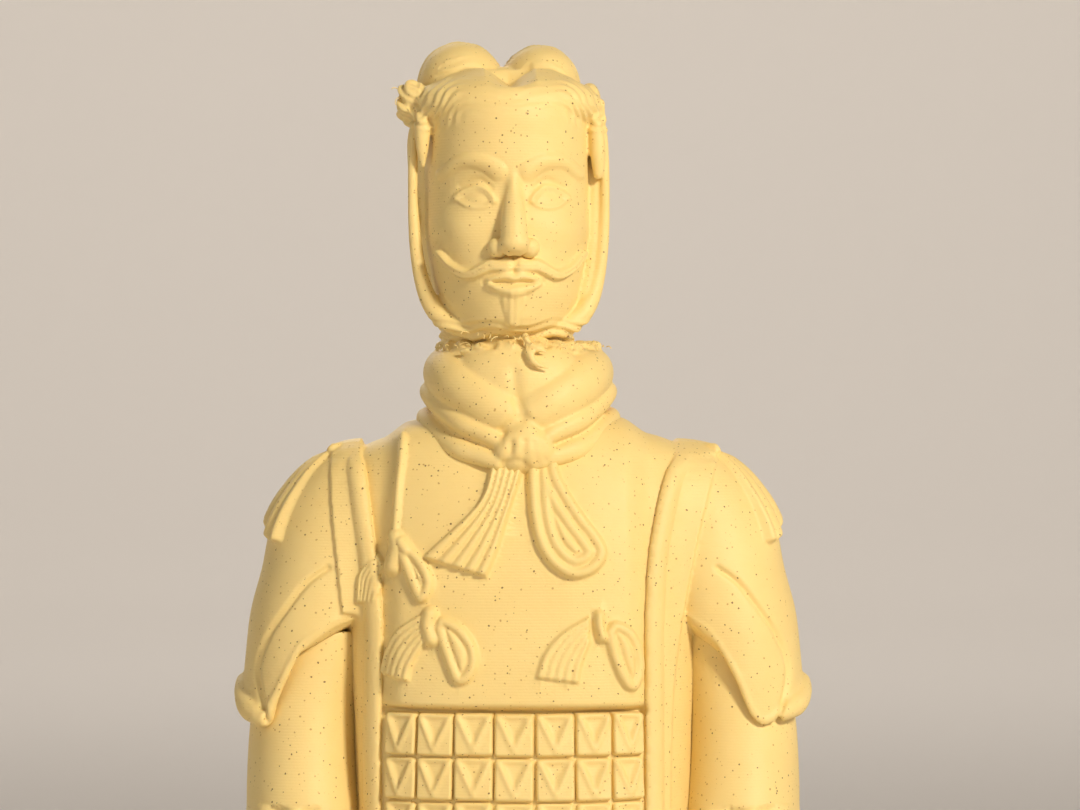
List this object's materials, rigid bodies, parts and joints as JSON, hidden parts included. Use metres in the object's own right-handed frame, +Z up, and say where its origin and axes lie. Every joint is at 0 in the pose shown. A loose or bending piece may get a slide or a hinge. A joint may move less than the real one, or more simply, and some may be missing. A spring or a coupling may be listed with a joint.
{
  "type": "terracotta warrior statue",
  "caption": "Small one-piece printed plastic figurine of an armoured warrior standing with folded hands on a low plinth.",
  "frame": {"origin": "centre of the plinth's underside", "axes": "+Z up along the figure's height, -Y the way the figure faces, +X to a viewer's right"},
  "size_m": [0.0477, 0.036, 0.15],
  "materials": {
    "cream_plastic": "matt cream print with fine dark specks"
  },
  "bodies": {
    "root": {"warrior_figurine": "cream_plastic"}
  },
  "joints": []
}
